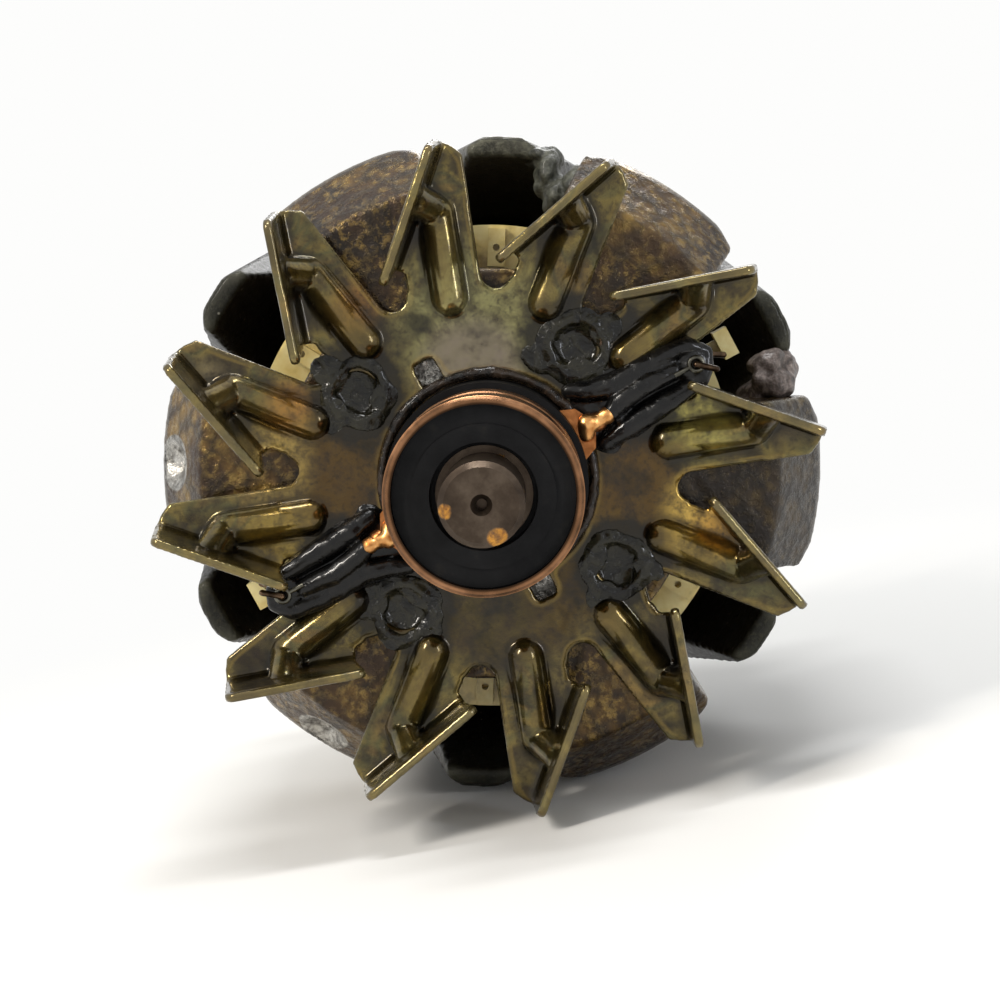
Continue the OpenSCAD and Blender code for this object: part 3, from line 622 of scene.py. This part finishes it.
def mark_curvature(mesh, passes, voxel_mm):
    """Writes the attribute 'wear': above a half on convex edges and below it in inner corners.

    It measures how far each vertex sinks as the skin is eased, against a reach of nearly two voxels.
    """
    shape = bmesh.new()
    shape.from_mesh(mesh)
    for _ in range(passes):
        bmesh.ops.smooth_vert(shape, verts=shape.verts, factor=0.5, use_axis_x=True,
                              use_axis_y=True, use_axis_z=True)
    eased = [vert.co.copy() for vert in shape.verts]
    shape.free()
    reach = 1.9 * voxel_mm * MM
    curvature = [0.5 + (vert.co - soft).dot(vert.normal) / reach for vert, soft in zip(mesh.vertices, eased)]
    for _ in range(2):
        total, count = curvature[:], [1] * len(curvature)
        for edge in mesh.edges:
            first, last = edge.vertices
            total[first] += curvature[last]
            total[last] += curvature[first]
            count[first] += 1
            count[last] += 1
        curvature = [value / number for value, number in zip(total, count)]
    mesh.attributes.new("curvature", "FLOAT", "POINT").data.foreach_set("value", curvature)


def soften(node, finish, voxel_mm):
    """Stands a copy with small radii on its edges and marked curvature in for a sharp-edged CAD node."""
    shape = bmesh.new()
    shape.from_mesh(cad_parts[node].data)
    mesh = skinned(mesh_from(node + "_soft", shape), voxel_mm, passes=5, onto=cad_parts[node])
    low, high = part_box(node)
    for vert in mesh.vertices:
        for axis in range(3):
            vert.co[axis] = min(max(vert.co[axis], low[axis]), high[axis])
    mark_curvature(mesh, 8, voxel_mm)
    piece = place_piece(node + "_soft", mesh, finish, smooth_angle=75)
    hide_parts(node)


def ball(shape, centre, half_sizes_mm, turn=0.0):
    """Adds a ball stretched along X, Y and Z and turned about the shaft's line."""
    single = bmesh.new()
    bmesh.ops.create_uvsphere(single, u_segments=16, v_segments=10, radius=1.0)
    scale = Matrix.Diagonal((*(half * MM for half in half_sizes_mm), 1.0))
    place = Matrix.Translation(centre) @ Matrix.Rotation(turn, 4, "Y")
    bmesh.ops.transform(single, matrix=place @ scale, verts=single.verts)
    mesh = bpy.data.meshes.new("ball")
    single.to_mesh(mesh)
    single.free()
    shape.from_mesh(mesh)
    bpy.data.meshes.remove(mesh)


def run(shape, points, radii_mm):
    """Adds balls in a row through points, about a quarter of a radius apart, as a strand or a run."""
    for (start, first), (end, last) in zip(zip(points, radii_mm), zip(points[1:], radii_mm[1:])):
        steps = max(1, math.ceil((end - start).length / (0.27 * min(first, last) * MM)))
        for step in range(steps + 1):
            share = step / steps
            size = first + (last - first) * share
            ball(shape, start.lerp(end, share), (size, size, size))


def melt(name, shape, finish, rough_mm, rough_size_mm, voxel_mm=0.3, passes=4):
    """Fuses overlapping balls into one skin, roughens it, and places it as a piece."""
    loose = bpy.data.meshes.new(name)
    shape.to_mesh(loose)
    shape.free()
    mesh = skinned(loose, voxel_mm, passes)
    pushes = [vert.normal * noise.noise(vert.co / (rough_size_mm * MM)) for vert in mesh.vertices]
    for vert, push in zip(mesh.vertices, pushes):
        vert.co += push * rough_mm * MM
    mark_curvature(mesh, 6, voxel_mm)
    return place_piece(name, mesh, finish, smooth_angle=80)


# ---- Settings that a user would change ----

class ROTOR_PG_finish(bpy.types.PropertyGroup):
    """Colours and coats of the rotor."""

    varnish_gloss: bpy.props.FloatProperty(
        name="Varnish gloss", description="Weight of the varnish coat on the poles",
        default=0.22, min=0.0, max=1.0, subtype="FACTOR")
    lobe_light: bpy.props.FloatVectorProperty(
        name="Lobe highlights", description="Palest tone of the varnished lobes",
        default=srgb("8a7038"), size=4, min=0.0, max=1.0, subtype="COLOR")


class ROTOR_PG_details(bpy.types.PropertyGroup):
    """Sizes of the small pieces."""

    thread_pitch: bpy.props.FloatProperty(
        name="Thread pitch", description="Pitch of the pulley nut thread",
        default=1.5 * MM, min=0.75 * MM, max=2.5 * MM, unit="LENGTH")
    thread_d: bpy.props.FloatProperty(
        name="Thread diameter", description="Diameter over the crests of the pulley nut thread",
        default=14 * MM, min=12.4 * MM, max=15 * MM, unit="LENGTH")
    edge_skin: bpy.props.FloatProperty(
        name="Edge skin", description="Grain of the skin that eases the edges of the fans and poles",
        default=0.47 * MM, min=0.3 * MM, max=1.5 * MM, unit="LENGTH")
    pool_r: bpy.props.FloatProperty(
        name="Varnish pool", description="Radius of the varnish pooled round each weld dimple",
        default=6.0 * MM, min=3 * MM, max=7.5 * MM, unit="LENGTH")


class ROTOR_PG_studio(bpy.types.PropertyGroup):
    """Camera, lamps and floor."""

    distance: bpy.props.FloatProperty(
        name="Camera distance", description="Distance from the camera to the poles' slip-ring end",
        default=314 * MM, min=100 * MM, max=2.0, unit="LENGTH")
    elevation: bpy.props.FloatProperty(
        name="Camera elevation", description="Height of the view above the shaft's line",
        default=math.radians(6.5), subtype="ANGLE")
    azimuth: bpy.props.FloatProperty(
        name="Camera azimuth", description="Turn of the view to the right of the shaft's line",
        default=math.radians(1.2), subtype="ANGLE")
    focal_length: bpy.props.FloatProperty(
        name="Focal length", description="Focal length on a 36 mm sensor, in mm", default=70.2, min=20)
    key_power: bpy.props.FloatProperty(
        name="Key lamp", description="Power of the key lamp", default=3.0, min=0.0, unit="POWER")
    floor_tone: bpy.props.FloatVectorProperty(
        name="Floor", description="Colour of the floor", default=srgb("f4f4f2"), size=4,
        min=0.0, max=1.0, subtype="COLOR")


# ---- Operators ----

class ROTOR_OT_poles(bpy.types.Operator):
    """Eases and finishes the two forged pole pieces, and finishes the core between them"""

    bl_idname = "rotor.poles"
    bl_label = "Poles"

    def execute(self, context):
        looks = context.scene.rotor_finish
        # The poles are larger and blunter than the fans, so their skin is coarser.
        skin = 1.7 * context.scene.rotor_details.edge_skin / MM
        amber = forged_steel_in_amber_varnish(
            "Forged steel in amber varnish", looks.varnish_gloss, tuple(looks.lobe_light))
        soften("slip_end_pole", amber, skin)
        soften("drive_end_pole", blackened_forged_steel("Blackened forged steel"),
               skin)
        dress("pole_core", ground_bright_steel("Turned core steel"))
        return {"FINISHED"}


class ROTOR_OT_fans(bpy.types.Operator):
    """Eases and finishes the two stamped fans, and finishes the collar"""

    bl_idname = "rotor.fans"
    bl_label = "Fans"

    def execute(self, context):
        skin = context.scene.rotor_details.edge_skin / MM
        sheet = yellow_chromated_zinc_sheet("Yellow chromated zinc sheet")
        soften("slip_end_fan", sheet, skin)
        soften("drive_end_fan", sheet, skin)
        dress("drive_end_collar", ground_bright_steel("Ground collar steel"))
        return {"FINISHED"}


class ROTOR_OT_shaft(bpy.types.Operator):
    """Finishes the shaft and cuts the pulley nut's thread on its end"""

    bl_idname = "rotor.shaft"
    bl_label = "Shaft and thread"

    def execute(self, context):
        dress("shaft", turned_steel_rust_spotted("Turned steel with rust blooms"))
        details = context.scene.rotor_details
        pitch = details.thread_pitch
        # The thread's foot lies inside its core, and its ends stay clear of the seat and the chamfer.
        root = 6.0 * MM
        start = THREAD_END - 16.5 * MM
        turns = int(14.5 * MM / pitch)
        steps = 40
        crest = details.thread_d / 2
        shape = bmesh.new()
        corners = ((root, 0.02), (crest, 0.43), (crest, 0.57), (root, 0.98))
        verts = [shape.verts.new((r, start + along * pitch, 0.0)) for r, along in corners]
        bmesh.ops.spin(shape, geom=[shape.faces.new(verts)], cent=(0, 0, 0), axis=(0, 1, 0),
                       dvec=(0, pitch / steps, 0), angle=2 * math.pi * turns, steps=steps * turns)
        place_piece("pulley_thread", mesh_from("pulley_thread", shape),
                    ground_bright_steel("Cut thread steel"), smooth_angle=35)
        return {"FINISHED"}


class ROTOR_OT_rings(bpy.types.Operator):
    """Finishes the slip rings, their moulding and the lugs, and adds the solder on the lugs"""

    bl_idname = "rotor.rings"
    bl_label = "Slip rings"

    def execute(self, context):
        copper = brush_worn_copper("Brush-worn copper")
        dress("outer_slip_ring", copper)
        dress("inner_slip_ring", copper)
        dress("ring_moulding", moulded_phenolic("Moulded black phenolic"))
        lug = pressed_copper("Pressed copper", "7d4c2a", "bd7c4a")
        dress("ring_lug_a", lug)
        dress("ring_lug_b", lug)
        shape = bmesh.new()
        for side in LEADS:
            run(shape, [on_lead(side, 16.6, -0.9, 2.6), on_lead(side, 17.4, 0.6, 3.0),
                        on_lead(side, 18.6, 0.1, 2.9)], (1.3, 1.5, 1.1))
            run(shape, [on_lead(side, 18.6, 0.1, 2.7), on_lead(side, 20.6, 0.2, 2.5)], (1.0, 1.35))
        melt("lug_joints", shape, pressed_copper("Fused copper joint", "a5642f", "e8b474"),
             0.12, 1.2)
        return {"FINISHED"}


class ROTOR_OT_leads(bpy.types.Operator):
    """Lays each lead's sleeving in folds over the fan, and finishes the wires and eyelets"""

    bl_idname = "rotor.leads"
    bl_label = "Leads"

    def execute(self, context):
        sleeving = dipped_black_sleeving("Dipped black sleeving")
        tinned = pressed_copper("Varnished tinned eyelet", "3a3934", "77756a")
        wire = pressed_copper("Enamelled lead wire", "1e1814", "6a5644")
        for side, node in LEADS.items():
            shape = bmesh.new()
            for strand in SLEEVE_STRANDS:
                points = [on_lead(side, along, across, height) for along, across, height, _ in strand]
                run(shape, points, [radius for *_, radius in strand])
            for along, across, long, wide, height in SLEEVE_PUDDLES:
                ball(shape, on_lead(side, along, across, 0.0), (long, height, wide),
                     -math.radians(side) - REST_TURN)
            piece = melt(node, shape, sleeving, 0.12, 1.7)
            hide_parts(node.replace("folds", "sleeve"))
        for side in "ab":
            dress("lead_eyelet_" + side, tinned)
            dress("coil_lead_" + side, wire)
        return {"FINISHED"}


class ROTOR_OT_coil(bpy.types.Operator):
    """Finishes the bobbin, its winding and the tape over it"""

    bl_idname = "rotor.coil"
    bl_label = "Field coil"

    def execute(self, context):
        dress("coil_bobbin", moulded_nylon("Moulded cream nylon"))
        dress("field_coil", enamelled_winding("Enamelled winding"))
        dress("coil_tape", resin_soaked_tape("Resin-soaked tape"))
        return {"FINISHED"}


class ROTOR_OT_varnish(bpy.types.Operator):
    """Pours the pools, runs and crusts that dipping and baking left behind"""

    bl_idname = "rotor.varnish"
    bl_label = "Varnish and resin"

    def pool(self, shape, angle, reach, seed):
        """One crater-shaped pool over a weld dimple: a raised rim round a pit, thin towards its edge."""
        rim_at, rim_width, rim_height = 0.72, 0.15, 0.45
        pit_at, pit_depth = 0.62, 1.1
        back, back_pit = 0.3, 1.7
        thin, edge_at, ragged = 0.1, 0.96, 0.28
        made = bmesh.ops.create_uvsphere(shape, u_segments=48, v_segments=40, radius=1.0)
        centre = on_rotor(DIMPLE_AT, angle, FAN_FRONT)
        for vert in made["verts"]:
            out = math.hypot(vert.co.x, vert.co.z)
            spread = reach * (1 + ragged * noise.noise(Vector((vert.co.x, vert.co.z, seed))))
            rim = math.exp(-((out - rim_at) / rim_width) ** 2)
            pit = max(0.0, 1 - (out / pit_at) ** 4)
            if vert.co.y < 0:
                height = thin + rim_height * rim - pit_depth * pit
            else:
                height = -back_pit * pit - back
            if out > edge_at:
                height = 0.0
            vert.co = centre + Vector((vert.co.x * spread, -height * MM, vert.co.z * spread))

    def execute(self, context):
        reach = context.scene.rotor_details.pool_r
        shape = bmesh.new()
        for index, angle in enumerate(DIMPLE_ANGLES):
            self.pool(shape, angle, reach, 3.1 * index)
        for radius, angle, long, wide in VARNISH_RUNS:
            ball(shape, on_rotor(radius, angle, FAN_FRONT), (long, 0.3, wide),
                 -math.radians(angle) - REST_TURN)
        baked = pooled_varnish("Pooled baked varnish", "2a281c", "090806")
        melt("dimple_varnish", shape, baked, 0.16, 1.3, voxel_mm=0.26)
        shape = bmesh.new()
        foot = [on_rotor(16.3, angle, FAN_FRONT) for angle in range(0, 366, 6)]
        run(shape, foot, [0.75 + 0.5 * noise.noise(point / (9 * MM)) for point in foot])
        melt("foot_varnish", shape, pooled_varnish("Varnish fillet", "3a2e24", "12100e"),
             0.12, 1.5, voxel_mm=0.26)
        for name, lumps in RESIN_LUMPS.items():
            shape = bmesh.new()
            for radius, angle, y, sizes in lumps:
                ball(shape, on_rotor(radius, angle, y * MM), sizes, -math.radians(angle) - REST_TURN)
            melt(name, shape, cured_epoxy(name.replace("_", " ") + " of epoxy", *RESIN_TONES[name]),
                 0.7, 2.1, voxel_mm=0.35, passes=3)
        return {"FINISHED"}


# Lamps: name, place and size in metres, share of the key lamp's power, and colour.
LAMPS = (("key", (-0.38, -0.42, 0.42), (0.06, 0.26), 1.0, "fff8ee"),
         ("top", (0.02, -0.16, 0.6), (0.3, 0.07), 0.55, "ffffff"),
         ("fill", (0.42, -0.45, 0.05), (0.05, 0.3), 0.3, "f2f6ff"),
         ("rear", (0.15, 0.5, 0.4), (0.3, 0.2), 0.5, "ffffff"))

# How far the camera aims to the right of the shaft's line and under it, in mm.
AIM_RIGHT, AIM_DOWN = 1.48, 4.99

# Distances in mm from under the rotor at which the floor is all glow and all floor.
FLOOR_FADES = (260, 75)


def in_sight(add):
    """1 on rays that come straight from the camera, off something glossy or through glass."""
    rays = add("LightPath").node.outputs
    sight = add("Math", operation="MAXIMUM", i0=rays["Is Camera Ray"], i1=rays["Is Glossy Ray"])
    return add("Math", operation="MAXIMUM", i0=sight, i1=rays["Is Transmission Ray"])


class ROTOR_OT_studio(bpy.types.Operator):
    """Sets up the camera, the lamps, the floor and the pale surroundings"""

    bl_idname = "rotor.studio"
    bl_label = "Studio"

    def camera(self, studio):
        azimuth, elevation = studio.azimuth, studio.elevation
        back = Vector((math.sin(azimuth) * math.cos(elevation), -math.cos(azimuth) * math.cos(elevation),
                       math.sin(elevation)))
        right = Vector((math.cos(azimuth), math.sin(azimuth), 0.0))
        up = back.cross(right)
        aim = Vector((0.0, -57 * MM, 0.0)) + right * AIM_RIGHT * MM - up * AIM_DOWN * MM
        axes = Matrix((right, up, back)).transposed().to_4x4()
        roll = Matrix.Rotation(-REST_TURN, 4, "Y")
        data = bpy.data.cameras.new("camera")
        data.lens = studio.focal_length
        data.sensor_width = 36.0
        data.clip_start = 0.01
        camera = bpy.data.objects.new("camera", data)
        camera.matrix_world = roll @ Matrix.Translation(aim + back * studio.distance) @ axes
        bpy.context.scene.collection.objects.link(camera)
        bpy.context.scene.camera = camera

    def lamp(self, name, place, size, power, tone):
        data = bpy.data.lights.new(name, "AREA")
        data.shape = "RECTANGLE"
        data.size, data.size_y = size
        data.energy = power
        data.color = srgb(tone)[:3]
        lamp = bpy.data.objects.new(name, data)
        lamp.location = place
        lamp.rotation_mode = "QUATERNION"
        aim = Vector((0, -60 * MM, 0)) - Vector(place)
        lamp.rotation_quaternion = aim.to_track_quat("-Z", "Y")
        bpy.context.scene.collection.objects.link(lamp)

    def floor(self, studio):
        """Floor that takes the shadow near the rotor and melts into the pale surroundings."""
        shape = bmesh.new()
        bmesh.ops.create_circle(shape, cap_ends=True, segments=96, radius=6.0)
        bmesh.ops.translate(shape, verts=shape.verts, vec=(0, 0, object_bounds()[0].z - 0.1 * MM))
        mesh = mesh_from("floor", shape)
        finish = Finish("Pale matt floor", Base_Color=tuple(studio.floor_tone), Roughness=0.9,
                        Specular_IOR_Level=0.1)
        middle = Vector((0, -30 * MM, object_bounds()[0].z))
        share = finish.add("Math", operation="MULTIPLY", i0=finish.near(middle, *FLOOR_FADES),
                           i1=in_sight(finish.add))
        glow = finish.add("Emission", Color="fdfdfc", Strength=1.0)
        blend = finish.add("MixShader", i0=share, i1=finish.surface, i2=glow)
        finish.tree.links.new(blend, finish.output.inputs["Surface"])
        mesh.materials.append(finish.material)
        floor = bpy.data.objects.new("floor", mesh)
        bpy.context.scene.collection.objects.link(floor)
        floor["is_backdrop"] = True

    def surroundings(self):
        """Pale all round where it is seen, and a soft even light on the rotor."""
        world = bpy.data.worlds.new("Pale studio")
        world.use_nodes = True
        world.node_tree.nodes.clear()
        add = functools.partial(add_node, world.node_tree)
        strength = add("MapRange", i0=in_sight(add), i3=0.4, i4=1.0)
        add("OutputWorld", Surface=add("Background", Color="fdfdfc", Strength=strength))
        bpy.context.scene.world = world

    def execute(self, context):
        studio = context.scene.rotor_studio
        self.camera(studio)
        self.floor(studio)
        self.surroundings()
        for name, place, size, share, tone in LAMPS:
            self.lamp(name, place, size, share * studio.key_power, tone)
        context.scene.view_settings.view_transform = "Standard"
        return {"FINISHED"}


PIECES = (ROTOR_OT_poles, ROTOR_OT_fans, ROTOR_OT_shaft, ROTOR_OT_rings, ROTOR_OT_leads,
          ROTOR_OT_coil, ROTOR_OT_varnish, ROTOR_OT_studio)
SETTINGS = {"rotor_finish": ROTOR_PG_finish, "rotor_details": ROTOR_PG_details,
            "rotor_studio": ROTOR_PG_studio}


class ROTOR_PT_panel(bpy.types.Panel):
    """Lists the rotor's pieces and settings"""

    bl_label = "Claw-pole rotor"
    bl_idname = "ROTOR_PT_panel"
    bl_space_type = "VIEW_3D"
    bl_region_type = "UI"
    bl_category = "Rotor"

    def draw(self, context):
        for name, group in SETTINGS.items():
            box = self.layout.box()
            for prop in group.__annotations__:
                box.prop(getattr(context.scene, name), prop)
        for piece in PIECES:
            self.layout.operator(piece.bl_idname)


def register():
    for group in SETTINGS.values():
        bpy.utils.register_class(group)
    for name, group in SETTINGS.items():
        setattr(bpy.types.Scene, name, bpy.props.PointerProperty(type=group))
    for piece in PIECES:
        bpy.utils.register_class(piece)
    bpy.utils.register_class(ROTOR_PT_panel)


def unregister():
    bpy.utils.unregister_class(ROTOR_PT_panel)
    for piece in reversed(PIECES):
        bpy.utils.unregister_class(piece)
    for name, group in SETTINGS.items():
        delattr(bpy.types.Scene, name)
        bpy.utils.unregister_class(group)


def main():
    register()
    bpy.ops.rotor.poles()
    bpy.ops.rotor.fans()
    bpy.ops.rotor.shaft()
    bpy.ops.rotor.rings()
    bpy.ops.rotor.leads()
    bpy.ops.rotor.coil()
    bpy.ops.rotor.varnish()
    bpy.ops.rotor.studio()


if __name__ == "__main__":
    main()
